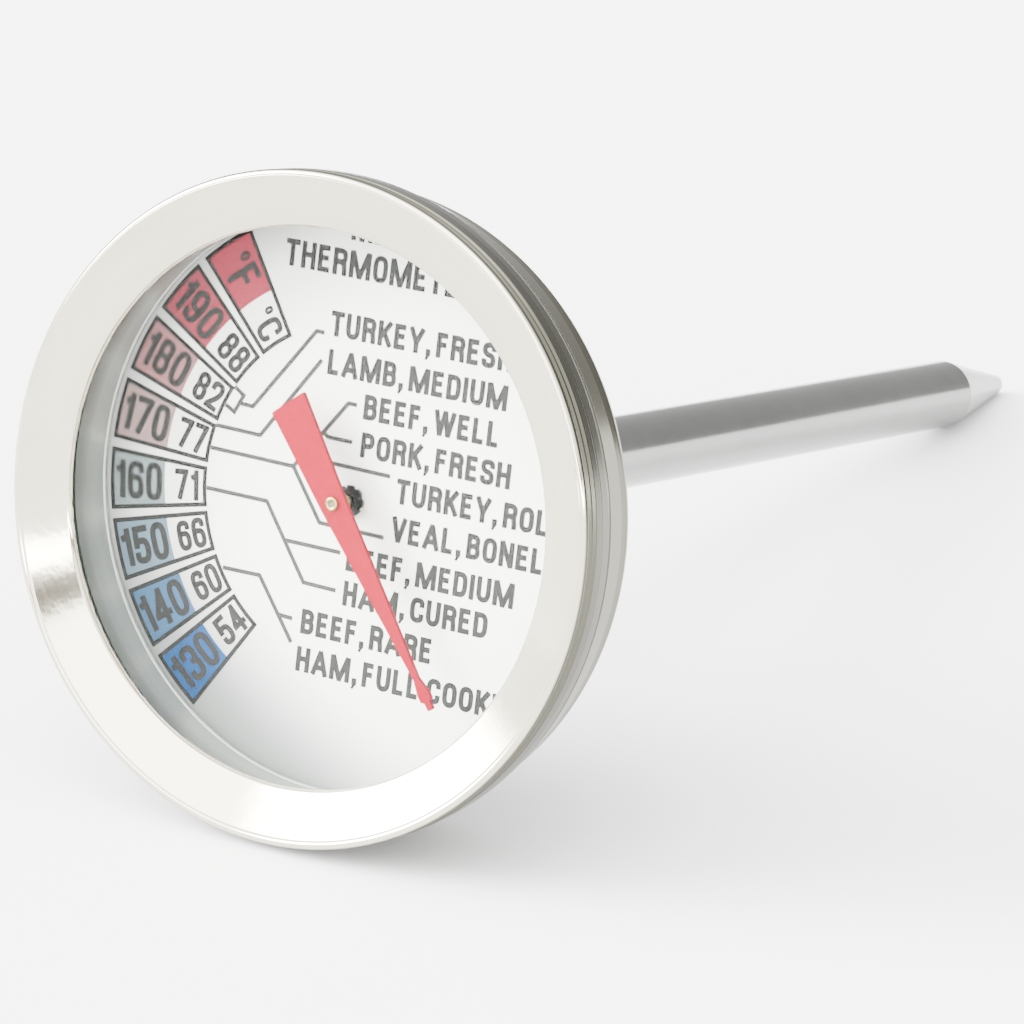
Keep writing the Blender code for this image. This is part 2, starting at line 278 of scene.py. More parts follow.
def skin(data, rings, closed=False):
    """Join rings of four corners, one to the next; a skin that isn't closed gets its two ends."""
    pairs = list(zip(rings, rings[1:]))
    if closed:
        pairs.append((rings[-1], rings[0]))
    else:
        data.faces.new(rings[0])
        data.faces.new(rings[-1][::-1])
    for first, second in pairs:
        for side in range(4):
            following = (side + 1) % 4
            data.faces.new((first[side], second[side], second[following], first[following]))


# ---------------------------------------------------------------- materials


def add_node(tree, kind, inputs=None, **settings):
    """Add a node with these settings; an input is a value or the output of another node."""
    made = tree.nodes.new(kind)
    for key, value in settings.items():
        setattr(made, key, value)
    for key, value in (inputs or {}).items():
        if isinstance(value, bpy.types.NodeSocket):
            tree.links.new(value, made.inputs[key])
        else:
            made.inputs[key].default_value = value
    return made


def smooth_step(tree, value, start, end):
    """0 before start, 1 after end, smooth between."""
    inputs = {"Value": value, "From Min": start, "From Max": end}
    node = add_node(tree, "ShaderNodeMapRange", inputs, interpolation_type="SMOOTHSTEP")
    return node.outputs[0]


def opaque(colour):
    """A colour as a node's input: (r, g, b) gets an alpha, the output of another node stays."""
    return colour if isinstance(colour, bpy.types.NodeSocket) else (*colour, 1.0)


class Shader:
    """A Principled material and short ways to add the nodes that drive it."""

    def __init__(self, name, colour, metallic=0.0, roughness=0.5, **constants):
        self.material = bpy.data.materials.new(name)
        self.material.use_nodes = True
        self.tree = self.material.node_tree
        self.main = self.tree.nodes["Principled BSDF"]
        self.output = self.tree.nodes["Material Output"]
        self.main.inputs["Base Color"].default_value = opaque(colour)
        self.main.inputs["Metallic"].default_value = metallic
        self.main.inputs["Roughness"].default_value = roughness
        for socket, value in constants.items():
            self.main.inputs[socket.replace("_", " ")].default_value = value

    def node(self, kind, inputs=None, **settings):
        """A new node of this material."""
        return add_node(self.tree, kind, inputs, **settings)

    def math(self, operation, first, second=0.0, third=0.0):
        """The result of one Math node."""
        inputs = {0: first, 1: second, 2: third}
        return self.node("ShaderNodeMath", inputs, operation=operation).outputs[0]

    def weighted(self, first, share, second):
        """Two values added: that share of the first, the rest of the second."""
        first_part = self.math("MULTIPLY", first, share)
        return self.math("ADD", first_part, self.math("MULTIPLY", second, 1 - share))

    def place(self):
        """x, y, z of the object's own space, in metres."""
        coordinates = self.node("ShaderNodeTexCoord").outputs["Object"]
        return self.node("ShaderNodeSeparateXYZ", {0: coordinates}).outputs

    def radius(self):
        """Distance from the object's own Z axis, in metres."""
        x, y, _ = self.place()
        squares = self.math("ADD", self.math("MULTIPLY", x, x), self.math("MULTIPLY", y, y))
        return self.math("SQRT", squares)

    def noise(self, vector, scale, detail):
        """Noise at a vector, 0 to 1."""
        inputs = {"Vector": vector, "Scale": scale, "Detail": detail, "Roughness": 0.6}
        return self.node("ShaderNodeTexNoise", inputs).outputs["Fac"]

    def object_noise(self, scale, detail=4.0, stretch=(1.0, 1.0, 1.0)):
        """Noise in the object's own space; scale is per metre."""
        coordinates = self.node("ShaderNodeTexCoord").outputs["Object"]
        mapping = self.node("ShaderNodeMapping", {"Vector": coordinates, "Scale": stretch})
        return self.noise(mapping.outputs[0], scale, detail)

    def round_noise(self, around, outward, along, detail=3.0):
        """Noise drawn out round the axis: how often it changes round, outward and along it."""
        x, y, z = self.place()
        radius = self.radius()
        inverse = self.math("DIVIDE", around, self.math("MAXIMUM", radius, 1e-5))
        outward_part = self.math("MULTIPLY", radius, outward)
        along_part = self.math("MULTIPLY", z, along)
        across = self.math("MULTIPLY", x, inverse)
        up = self.math("MULTIPLY", y, inverse)
        depth = self.math("ADD", outward_part, along_part)
        vector = self.node("ShaderNodeCombineXYZ", {0: across, 1: up, 2: depth}).outputs[0]
        return self.noise(vector, 1.0, detail)

    def blend_colour(self, factor, first, second):
        """From the first colour at 0 to the second at 1."""
        inputs = {0: factor, 6: opaque(first), 7: opaque(second)}
        return self.node("ShaderNodeMix", inputs, data_type="RGBA").outputs[2]

    def scaled(self, factor, low, high):
        """From low at 0 to high at 1."""
        inputs = {"Value": factor, "To Min": low, "To Max": high}
        return self.node("ShaderNodeMapRange", inputs).outputs[0]

    def fade(self, length, start, end):
        """0 before start, 1 after end; the length is in metres, its limits in millimetres."""
        return smooth_step(self.tree, length, start * MM, end * MM)

    def drive(self, socket, value):
        """Link a value to a socket of the shader."""
        self.tree.links.new(value, self.main.inputs[socket])

    def bump(self, height, strength, distance):
        """Small relief; the distance is in millimetres."""
        inputs = {"Height": height, "Strength": strength, "Distance": distance * MM}
        self.drive("Normal", self.node("ShaderNodeBump", inputs).outputs[0])

    def radial_grain(self):
        """Stretch highlights as brushing round the axis does."""
        tangent = self.node("ShaderNodeTangent", direction_type="RADIAL", axis="Z")
        self.drive("Tangent", tangent.outputs[0])


def brushed_round(
    name, colour, dark, roughness, spread, anisotropic=0.6, bump=0.12, edge=(1.0, 1.0, 1.0)
):
    """Steel brushed round its axis, with its own tint at grazing angles."""
    tint = opaque(edge)
    shader = Shader(name, colour, 1.0, roughness, Anisotropic=anisotropic, Specular_Tint=tint)
    lines = shader.round_noise(3.0, 9000.0, 9000.0)
    patches = shader.round_noise(1.6, 300.0, 200.0)
    shader.drive("Base Color", shader.blend_colour(shader.scaled(patches, -0.3, 1.3), dark, colour))
    mixed = shader.weighted(lines, 0.7, patches)
    shader.drive("Roughness", shader.scaled(mixed, roughness - spread, roughness + spread))
    shader.bump(lines, bump, 0.01)
    shader.radial_grain()
    return shader.material


def bezel_steel():
    """Polished front face with a warm tone; the skirt behind the rim is duller, and painted shade
    makes it darker.
    """
    shader = Shader("bezel_steel", (0.54, 0.505, 0.425), 1.0, 0.13, Anisotropic=0.3)
    lines = shader.round_noise(3.0, 9000.0, 9000.0)
    patches = shader.round_noise(1.6, 300.0, 200.0)
    uneven = shader.scaled(patches, -0.3, 1.3)
    face = shader.blend_colour(uneven, (0.455, 0.420, 0.325), (0.545, 0.510, 0.405))
    # Painted shade: behind the rim the same steel takes a far darker colour than the face
    skirt = shader.blend_colour(lines, (0.055, 0.054, 0.042), (0.079, 0.078, 0.060))
    skirt_line = shader.math("ADD", shader.place()[2], SKIRT_RADIUS * MM)
    past_rim = shader.math("SUBTRACT", shader.radius(), skirt_line)
    skirt_shade_mask = shader.fade(past_rim, -0.15, 0.15)
    shader.drive("Base Color", shader.blend_colour(skirt_shade_mask, face, skirt))
    mixed = shader.weighted(lines, 0.7, patches)
    duller = shader.math("MULTIPLY", skirt_shade_mask, 0.13)
    shader.drive("Roughness", shader.math("ADD", shader.scaled(mixed, 0.05, 0.11), duller))
    waves = shader.round_noise(14.0, 900.0, 0.0, 2.0)
    shader.bump(shader.math("ADD", shader.math("MULTIPLY", lines, 0.12), waves), 0.25, 0.03)
    shader.radial_grain()
    return shader.material


def drawn_steel():
    """Polished stem: faint lengthwise draw marks under a light haze."""
    shader = Shader("drawn_steel", (0.20, 0.20, 0.197), 1.0, 0.16)
    draw = shader.round_noise(40.0, 0.0, 60.0)
    haze = shader.object_noise(160.0, 3.0)
    steel = shader.blend_colour(haze, (0.18, 0.18, 0.177), (0.23, 0.23, 0.226))
    shader.drive("Base Color", steel)
    shader.drive("Roughness", shader.scaled(shader.weighted(draw, 0.6, haze), 0.10, 0.24))
    shader.bump(draw, 0.06, 0.01)
    return shader.material


def turned_steel():
    """Plain machined steel with ring marks."""
    return brushed_round("turned_steel", (0.62, 0.62, 0.63), (0.52, 0.52, 0.53), 0.30, 0.08)


def star_steel():
    """Blackened spring steel."""
    return brushed_round("star_steel", (0.036, 0.042, 0.039), (0.024, 0.028, 0.026), 0.35, 0.08)


def reflector_metal():
    """Bright sleeve between lens and dial, with painted shade darkening it towards the lens."""
    shader = Shader("reflector_metal", (0.36, 0.37, 0.37), 0.6, 0.42)
    rings = shader.round_noise(2.0, 2500.0, 2500.0)
    bright = shader.blend_colour(rings, (0.32, 0.335, 0.31), (0.40, 0.415, 0.385))
    # Painted shade: the bezel lip's shadow, painted as a darker colour towards the lens end
    lip_shade = shader.scaled(shader.fade(shader.place()[2], -6.4, -3.4), 0.0, 0.75)
    shader.drive("Base Color", shader.blend_colour(lip_shade, bright, (0.085, 0.09, 0.082)))
    shader.drive("Roughness", shader.scaled(rings, 0.36, 0.48))
    shader.bump(rings, 0.08, 0.01)
    return shader.material


def dial_metal():
    """Satin silver-white dial with a fine grain; painted shade darkens it towards its lower left
    and top rim.
    """
    shader = Shader("dial_metal", (0.80, 0.78, 0.75), 0.1, 0.45)
    grain = shader.object_noise(2600.0, 2.0, (1.0, 0.25, 1.0))
    cloud = shader.object_noise(70.0, 3.0)
    shade = shader.weighted(grain, 0.6, cloud)
    silver = shader.blend_colour(shade, (0.765, 0.75, 0.72), (0.825, 0.80, 0.77))
    # Painted shade: the rim's shadow on the dial, painted as a darker base colour towards the lower
    # left and top rim
    x, y, _ = shader.place()
    lower_left = shader.math("MULTIPLY_ADD", x, -0.5, shader.math("MULTIPLY", y, -0.87))
    low = shader.fade(lower_left, 10.0, 20.5)
    rim_ring = shader.fade(shader.radius(), 17.5, 22.0)
    left = shader.math("MULTIPLY", shader.fade(x, 2.0, -10.0), rim_ring)
    top = shader.fade(y, 19.0, 22.5)
    side_rim_shade = shader.math("MULTIPLY", shader.math("MAXIMUM", left, top), 0.65)
    rim = shader.math("MAXIMUM", low, side_rim_shade)
    shader.drive("Base Color", shader.blend_colour(rim, silver, (0.24, 0.25, 0.245)))
    shader.drive("Roughness", shader.scaled(grain, 0.36, 0.50))
    shader.bump(grain, 0.05, 0.01)
    return shader.material


def ink(name, colour):
    """Printed ink: nearly flat, with the slight unevenness of a screen print."""
    shader = Shader(name, colour, 0.0, 0.55, Specular_IOR_Level=0.08)
    speckle = shader.object_noise(5200.0, 3.0)
    low = tuple(channel * (1 - INK_SPREAD) for channel in colour)
    high = tuple(channel * (1 + INK_SPREAD) for channel in colour)
    shader.drive("Base Color", shader.blend_colour(speckle, low, high))
    shader.drive("Roughness", shader.scaled(speckle, 0.45, 0.65))
    shader.bump(speckle, 0.05, 0.01)
    return shader.material


def pointer_paint():
    """Red enamel with a light orange peel."""
    shader = Shader("pointer_paint", (0.22, 0.006, 0.016), 0.0, 0.45, Specular_IOR_Level=0.03)
    peel = shader.object_noise(1400.0, 2.0)
    cloud = shader.object_noise(260.0, 2.0)
    red = shader.blend_colour(cloud, (0.185, 0.003, 0.012), (0.215, 0.005, 0.016))
    shader.drive("Base Color", red)
    shader.drive("Roughness", shader.scaled(peel, 0.32, 0.46))
    shader.bump(peel, 0.10, 0.02)
    return shader.material


def brass(name, roughness):
    """Turned brass, a little uneven in tone."""
    light = (0.36, 0.26, 0.085)
    dark = (0.28, 0.20, 0.06)
    return brushed_round(name, light, dark, roughness, 0.06, anisotropic=0.3, bump=0.08)


def bimetal_strip():
    """Rolled bimetal strip with heat tint along its length."""
    shader = Shader("bimetal_strip", (0.66, 0.58, 0.48), 1.0, 0.30)
    tint = shader.object_noise(300.0, 3.0)
    strip = shader.blend_colour(tint, (0.58, 0.50, 0.42), (0.72, 0.66, 0.58))
    shader.drive("Base Color", strip)
    shader.drive("Roughness", shader.scaled(tint, 0.24, 0.40))
    shader.bump(tint, 0.05, 0.02)
    return shader.material


def seal_rubber():
    """Matt grey gasket."""
    shader = Shader("seal_rubber", (0.10, 0.10, 0.10), 0.0, 0.7)
    grain = shader.object_noise(3000.0, 4.0)
    rubber = shader.blend_colour(grain, (0.08, 0.08, 0.08), (0.13, 0.13, 0.13))
    shader.drive("Base Color", rubber)
    shader.drive("Roughness", shader.scaled(grain, 0.6, 0.85))
    shader.bump(grain, 0.2, 0.02)
    return shader.material


def lens_glass():
    """A thin flat pane: it lets light straight through and mirrors a little of the studio."""
    shader = Shader("lens_glass", (1.0, 1.0, 1.0), 0.0, 0.02)
    clear = shader.node("ShaderNodeBsdfTransparent", {"Color": (0.97, 0.98, 0.975, 1.0)})
    smear = shader.object_noise(60.0, 3.0)
    gloss = shader.node("ShaderNodeBsdfGlossy", {"Roughness": shader.scaled(smear, 0.01, 0.05)})
    facing = shader.node("ShaderNodeLayerWeight", {"Blend": 0.5}).outputs["Facing"]
    grazing = shader.math("POWER", facing, 5.0)
    mirror = shader.math("MULTIPLY_ADD", grazing, LENS_GRAZING, LENS_MIRROR)
    inputs = {0: mirror, 1: clear.outputs[0], 2: gloss.outputs[0]}
    mix = shader.node("ShaderNodeMixShader", inputs)
    shader.tree.links.new(mix.outputs[0], shader.output.inputs["Surface"])
    shader.tree.nodes.remove(shader.main)
    return shader.material


def floor_material():
    """Plain pale studio floor."""
    shader = Shader("studio_floor", (0.62, 0.62, 0.62), 0.0, 0.9)
    paper = shader.object_noise(40.0, 4.0)
    grey = shader.blend_colour(paper, (0.61, 0.61, 0.61), (0.63, 0.63, 0.63))
    shader.drive("Base Color", grey)
    return shader.material


STEEL_BEZEL = bezel_steel()
STEEL_CASE = brushed_round(
    "case_steel", (0.058, 0.057, 0.041), (0.045, 0.044, 0.032), 0.16, 0.04, edge=(0.92, 0.91, 0.86)
)
STEEL_STEM = drawn_steel()
STEEL_TURNED = turned_steel()
STEEL_STAR = star_steel()
GLASS = lens_glass()
RUBBER = seal_rubber()
REFLECTOR = reflector_metal()
DIAL_METAL = dial_metal()
PAINT = pointer_paint()
BRASS_EYELET = brass("eyelet_brass", 0.25)
BRASS_BEARING = brass("bearing_brass", 0.40)
BIMETAL = bimetal_strip()


# ---------------------------------------------------------------- head


def build_bezel():
    """The dished bezel: window lip, sloping face, round rim and a skirt with fine ridges."""
    front = [(WINDOW_RADIUS, 1.28), (20.95, 1.00), (24.35, -0.34), (24.47, -0.33), (24.62, -0.40)]
    rim = arc((24.70, 0.0), 0.36, -100, 70, 10)
    skirt = [(24.72, 0.36), (24.78, 0.46), (24.98, 0.72), (25.00, 0.86), (24.80, 0.98)]
    skirt += [(24.82, 1.08), (25.04, 1.24), (25.02, 2.05), (24.96, 2.12), (24.98, 2.22)]
    skirt += [(24.90, 3.25), (24.60, 3.42), (24.60, 3.62), (24.74, 3.74), (24.72, 3.92)]
    skirt += [(24.50, 4.02)]
    inside = [(23.98, 4.0), (24.15, 1.45), (23.9, 0.62), (WINDOW_RADIUS, 1.56)]
    profile = rounded(front + rim + skirt + inside, 0.08)
    piece = turned("bezel_shell", profile, CASE, STEEL_BEZEL)
    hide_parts("bezel")


def build_case():
    """The cup behind the bezel: neck, band, round corner, tapered back and hole for the bush."""
    outside = [(23.70, 1.35), (23.70, 4.12), (24.36, 4.12), (24.34, 4.30), (23.84, 6.90)]
    outer_corner = arc((22.15, 7.6), 1.6, 0, 60, 10) + [(20.6, 11.6), (20.1, 11.8)]
    hub = [(7.2, 11.8), (7.1, 11.5), (4.7, 11.5), (4.7, 10.9), (7.8, 10.9), (8.1, 11.2)]
    inner_corner = [(20.2, 11.2), (22.66, 8.9)] + arc((22.15, 7.6), 1.2, 40, 0, 8)
    inside = [(23.3, 4.2), (23.3, 1.35)]
    profile = rounded(outside + outer_corner + hub + inner_corner + inside, 0.15)
    piece = turned("case_shell", profile, CASE, STEEL_CASE)
    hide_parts("case_back")


def build_lens():
    """The flat lens with a ground edge, and its gasket."""
    lens = [(0.0, 2.2), (22.5, 2.2), (22.8, 2.5), (22.8, 3.1), (22.5, 3.4), (0.0, 3.4)]
    piece = turned("lens_pane", lens, CASE, GLASS)
    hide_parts("lens")
    gasket = rounded([(22.75, 1.22), (22.75, 1.90), (21.20, 1.90), (21.20, 1.76)], 0.1)
    piece = turned("gasket_ring", gasket, CASE, RUBBER)
    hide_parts("lens_gasket")


def build_reflector():
    """The conical sleeve between the lens and the dial, with a rolled bead at its foot."""
    outside = [(22.8, 3.5), (22.8, 4.2), (22.55, 4.3), (22.55, 7.0), (22.78, 7.4), (22.78, 7.88)]
    bead = arc((22.28, 7.62), 0.24, 80, 250, 10)
    inside = [(22.12, 7.30), (22.02, 3.5)]
    profile = rounded(outside, 0.1, closed=False) + bead + inside
    piece = turned("reflector_sleeve", profile, CASE, REFLECTOR)
    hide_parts("reflector_ring")


def build_dial():
    """The dial plate and the toothed washer on its centre."""
    back = DIAL_DEPTH + 0.5
    disc = [(22.55, DIAL_DEPTH), (22.6, DIAL_DEPTH + 0.05), (22.6, back - 0.05), (22.55, back)]
    disc += [(0.9, back), (0.9, DIAL_DEPTH)]
    piece = turned("dial_disc", disc, CASE, DIAL_METAL)
    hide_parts("dial_plate")
    teeth = []
    for index in range(8):
        middle = 45.0 * index
        teeth += arc((0, 0), 1.2, middle - 14, middle + 14, 4)
        teeth += arc((0, 0), 0.9, middle + 19, middle + 26, 1)
    data = flat_mesh([teeth, circle(0.66)], 0.25)
    data.transform(lowered(7.89))
    piece = mesh_piece("star_washer", data, CASE, STEEL_STAR)
    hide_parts("dial_lock_washer")


# ---------------------------------------------------------------- print


def sector(inner, outer, start, end, steps=10):
    """The outline of a piece of a ring, between two angles in degrees."""
    return arc((0, 0), outer, start, end, steps) + arc((0, 0), inner, end, start, steps)


def ribbon(data, points, width, low, closed=False):
    """Add a printed stroke: a flat prism of even width along the points, mitred at its bends."""
    points = [Vector(point) for point in points]
    count = len(points)
    rings = []
    high = low + INK
    for index, point in enumerate(points):
        runs = []
        if index or closed:
            runs.append((point - points[index - 1]).normalized())
        if index + 1 < count or closed:
            runs.append((points[(index + 1) % count] - point).normalized())
        direction = (runs[0] + runs[-1]).normalized()
        mitre = max(MITRE_LIMIT, direction.dot(runs[-1]))
        side = Vector((-direction.y, direction.x)) * (width / 2 / mitre)
        ring = []
        for offset, z in ((side, low), (-side, low), (-side, high), (side, high)):
            place = point + offset
            ring.append(data.verts.new((place.x * MM, place.y * MM, z * MM)))
        rings.append(ring)
    skin(data, rings, closed)


def printed(name, data, material, layer):
    """Put print, drawn from z = 0, on the dial; each layer lies a little above the one before."""
    bmesh.ops.recalc_face_normals(data, faces=data.faces)
    data.transform(Matrix.Translation((0.0, 0.0, (layer * LAYER - DIAL_DEPTH) * MM)))
    return mesh_piece(name, data, CASE, material)


def glyph_width(character, letters):
    """How wide a character is, in millimetres."""
    height, pen, _ = letters
    if character == " ":
        return WORD_SPACE * height
    return GLYPHS[character][0] * height + pen


def text_length(text, letters):
    """How long a line of text is, in millimetres."""
    widths = [glyph_width(character, letters) for character in text]
    return sum(widths) + letters[2] * (len(text) - 1)


def lettering(data, text, place, angle, letters, centred=False):
    """Add one line of text; place is its left end, or its middle if it is centred."""
    _, pen, gap = letters
    turn = Matrix.Rotation(math.radians(angle), 2)
    cursor = -text_length(text, letters) / 2 if centred else 0.0
    for character in text:
        if character != " ":
            draw_glyph(data, character, cursor + pen / 2, place, turn, letters)
        cursor += glyph_width(character, letters) + gap


def draw_glyph(data, character, left, place, turn, letters):
    """Add one character; left is how far along the line its strokes start."""
    height, pen, _ = letters
    width, strokes = GLYPHS[character]
    for order, (kind, *points) in enumerate(strokes):
        closed = "o" in kind
        drawn = [(left + x * width * height, (y - 0.5) * (height - pen)) for x, y in points]
        if "r" in kind:
            bend = BEND_RADIUS * height
            drawn = rounded(drawn, bend, closed, steps=6, share=0.48, even=False)
        if "b" in kind:
            drawn = square_ends(drawn, pen / 2)
        moved = [Vector(place) + turn @ Vector(point) for point in drawn]
        weight = pen * THIN_STROKE if "t" in kind else pen
        ribbon(data, moved, weight, order * STROKE_STEP, closed)


def square_ends(points, reach):
    """The same stroke with both ends drawn out by that reach."""
    first = Vector(points[0]) + (Vector(points[0]) - Vector(points[1])).normalized() * reach
    last = Vector(points[-1]) + (Vector(points[-1]) - Vector(points[-2])).normalized() * reach
    return [tuple(first), *points[1:-1], tuple(last)]


# Characters: width over height, then strokes in a unit square.
# b: drawn-out ends, r: rounded bends, o: closed, t: thin
GLYPHS = {
    "A": (0.53, [("b", (0, 0), (0.46, 1)), ("b", (1, 0), (0.54, 1)),
                 ("", (0.2, 0.27), (0.8, 0.27))]),
    "B": (0.40, [("b", (0, 0), (0, 1)), ("r", (0, 1), (0.94, 1), (0.94, 0.53), (0, 0.53)),
                 ("r", (0, 0.53), (1, 0.53), (1, 0), (0, 0))]),
    "C": (0.42, [("r", (1, 0.66), (1, 1), (0, 1), (0, 0), (1, 0), (1, 0.34))]),
    "D": (0.42, [("b", (0, 0), (0, 1)), ("r", (0, 1), (1, 1), (1, 0), (0, 0))]),
    "E": (0.36, [("b", (0, 0), (0, 1)), ("", (0, 1), (1.1, 1)), ("", (0, 0.53), (1, 0.53)),
                 ("", (0, 0), (1.15, 0))]),
    "F": (0.34, [("b", (0, 0), (0, 1)), ("", (0, 1), (1.1, 1)), ("", (0, 0.53), (1, 0.53))]),
    "H": (0.42, [("b", (0, 0), (0, 1)), ("b", (1, 0), (1, 1)), ("", (0, 0.53), (1, 0.53))]),
    "I": (0.00, [("b", (0, 0), (0, 1))]),
    "K": (0.42, [("b", (0, 0), (0, 1)), ("b", (0.95, 1), (0.1, 0.36)),
                 ("b", (0.36, 0.58), (1, 0))]),
    "L": (0.34, [("b", (0, 1), (0, 0)), ("", (0, 0), (1.15, 0))]),
    "M": (0.72, [("b", (0, 0), (0, 1)), ("b", (1, 0), (1, 1)), ("b", (0.07, 1), (0.47, 0)),
                 ("b", (0.93, 1), (0.53, 0))]),
    "N": (0.44, [("b", (0, 0), (0, 1)), ("b", (0.08, 1), (0.92, 0)), ("b", (1, 0), (1, 1))]),
    "O": (0.43, [("ro", (0, 0), (0, 1), (1, 1), (1, 0))]),
    "P": (0.40, [("b", (0, 0), (0, 1)), ("r", (0, 1), (1, 1), (1, 0.46), (0, 0.46))]),
    "R": (0.41, [("b", (0, 0), (0, 1)), ("r", (0, 1), (1, 1), (1, 0.49), (0, 0.49)),
                 ("b", (0.5, 0.49), (0.9, 0.42), (1, 0.1), (1, 0))]),
    "S": (0.40, [("r", (1, 0.7), (1, 1), (0, 1), (0, 0.56), (1, 0.46), (1, 0), (0, 0), (0, 0.3))]),
    "T": (0.40, [("b", (0, 1), (1, 1)), ("b", (0.5, 0), (0.5, 0.95))]),
    "U": (0.43, [("rb", (0, 1), (0, 0), (1, 0), (1, 1))]),
    "V": (0.46, [("b", (0, 1), (0.45, 0)), ("b", (1, 1), (0.55, 0))]),
    "W": (0.76, [("b", (0, 1), (0.23, 0)), ("b", (0.48, 1), (0.27, 0)), ("b", (0.52, 1), (0.73, 0)),
                 ("b", (1, 1), (0.77, 0))]),
    "Y": (0.46, [("b", (0, 1), (0.46, 0.42)), ("b", (1, 1), (0.54, 0.42)),
                 ("b", (0.5, 0), (0.5, 0.42))]),
    ",": (0.04, [("b", (0.5, -0.02), (0.5, 0.05)), ("t", (2.2, 0.0), (-1.6, -0.36))]),
    "0": (0.34, [("ro", (0, 0), (0, 1), (1, 1), (1, 0))]),
    "1": (0.16, [("", (-0.3, 0.78), (1, 0.86)), ("b", (1, 0), (1, 1))]),
    "2": (0.34, [("r", (0, 0.68), (0, 1), (1, 1), (1, 0.58), (0, 0.04)), ("b", (0, 0), (0.95, 0))]),
    "3": (0.34, [("r", (0, 0.7), (0, 1), (1, 1), (1, 0.53), (0.4, 0.53)),
                 ("r", (0.4, 0.53), (1, 0.53), (1, 0), (0, 0), (0, 0.3))]),
    "4": (0.38, [("b", (0.72, 0), (0.72, 1)), ("", (0.72, 1), (0, 0.27)),
                 ("b", (0, 0.25), (1, 0.25))]),
    "5": (0.34, [("b", (0.08, 1), (0.95, 1)), ("b", (0.08, 1), (0.03, 0.5)),
                 ("r", (0.03, 0.5), (0.1, 0.62), (1, 0.62), (1, 0), (0, 0), (0, 0.28))]),
    "6": (0.34, [("r", (1, 0.72), (1, 1), (0, 1), (0, 0), (1, 0), (1, 0.58), (0, 0.58))]),
    "7": (0.34, [("b", (0, 1), (1, 1)), ("b", (1, 0.98), (0.35, 0))]),
    "8": (0.34, [("ro", (0.04, 0.53), (0.04, 1), (0.96, 1), (0.96, 0.53)),
                 ("ro", (0, 0), (0, 0.53), (1, 0.53), (1, 0))]),
    "9": (0.34, [("r", (0, 0.28), (0, 0), (1, 0), (1, 1), (0, 1), (0, 0.42), (1, 0.42))]),
    "°": (0.14, [("rot", (0, 0.72), (0, 1), (1, 1), (1, 0.72))]),
}
INK_DARK = ink("ink_dark", (0.021, 0.021, 0.020))
INK_LINE = ink("ink_line", (0.017, 0.017, 0.016))
INK_LEADER = ink("ink_leader", (0.036, 0.037, 0.034))

SCALE = (
    # Fahrenheit, Celsius, colour of the Fahrenheit half
    ("°F", "°C", (0.245, 0.024, 0.042)),
    ("190", "88", (0.235, 0.032, 0.048)),
    ("180", "82", (0.240, 0.105, 0.110)),
    ("170", "77", (0.240, 0.160, 0.155)),
    ("160", "71", (0.155, 0.190, 0.195)),
    ("150", "66", (0.100, 0.150, 0.190)),
    ("140", "60", (0.036, 0.088, 0.165)),
    ("130", "54", (0.008, 0.050, 0.150)),
)

LABELS = (
    # text, left end of the line, middle of its height
    ("TURKEY, FRESH", -3.58, 12.85),
    ("LAMB, MEDIUM", -3.45, 9.95),
    ("BEEF, WELL", 0.10, 7.15),
    ("PORK, FRESH", 0.20, 4.30),
    ("TURKEY, ROLL", 3.70, 1.45),
    ("VEAL, BONELESS", 3.65, -1.42),
    ("BEEF, MEDIUM", 0.02, -4.40),
    ("HAM, CURED", 0.07, -7.05),
    ("BEEF, RARE", -3.36, -9.90),
    ("HAM, FULL  COOKED", -3.43, -12.80),
)

LEADERS = (
    # the bends of each line, from the scale to the text
    ((-11.45, 6.58), (-10.57, 6.05), (-11.27, 4.66), (-12.09, 5.08)),
    ((-10.77, 5.41), (-9.66, 5.37), (-4.72, 12.02), (-4.02, 12.00)),
    ((-12.74, 3.38), (-8.74, 3.34), (-4.00, 9.95)),
    ((-13.02, 1.60), (-5.50, 1.56), (-1.26, 7.15), (-0.52, 7.15)),
    ((-3.16, 4.64), (-2.72, 4.32), (-0.56, 4.32)),
    ((-4.82, 2.45), (3.05, 2.40)),
    ((-5.50, 1.56), (-2.68, -2.22), (3.07, -2.25)),
    ((-13.02, -1.52), (-7.52, -1.50), (-3.52, -6.98), (-0.61, -7.02)),
    ((-5.48, -4.12), (-0.56, -4.10)),
    ((-10.82, -7.28), (-7.46, -7.22), (-4.04, -11.71)),
    ((-5.44, -9.84), (-4.16, -9.90)),
)


def build_scale():
    """Colour halves, frames and numerals of the scale boxes."""
    frames = bmesh.new()
    numerals = bmesh.new()
    half_line = LINE_WIDTH / 2
    inset = math.degrees(half_line / BOX_SPLIT)
    for index, (upper, lower, colour) in enumerate(SCALE):
        middle = BOX_FIRST_ANGLE + BOX_PITCH * index
        start = middle - BOX_WIDTH / 2 + inset
        end = middle + BOX_WIDTH / 2 - inset
        name = "degree" if index == 0 else upper
        fill = flat_mesh([sector(BOX_SPLIT, COLOUR_OUTER, start, end)], INK)
        printed("scale_colour_" + name, fill, ink("ink_" + name, colour), 1)
        frame_line = sector(BOX_INNER + half_line, BOX_OUTER - half_line, start, end)
        ribbon(frames, frame_line, LINE_WIDTH, 0.0, closed=True)
        ray = Vector((math.cos(math.radians(middle)), math.sin(math.radians(middle))))
        turn = middle - 180.0
        lettering(numerals, upper, ray * FAHRENHEIT_RADIUS, turn, FAHRENHEIT_LETTERS, centred=True)
        lettering(numerals, lower, ray * CELSIUS_RADIUS, turn, CELSIUS_LETTERS, centred=True)
    printed("scale_frames", frames, INK_LINE, 2)
    printed("scale_numerals", numerals, INK_DARK, 2)


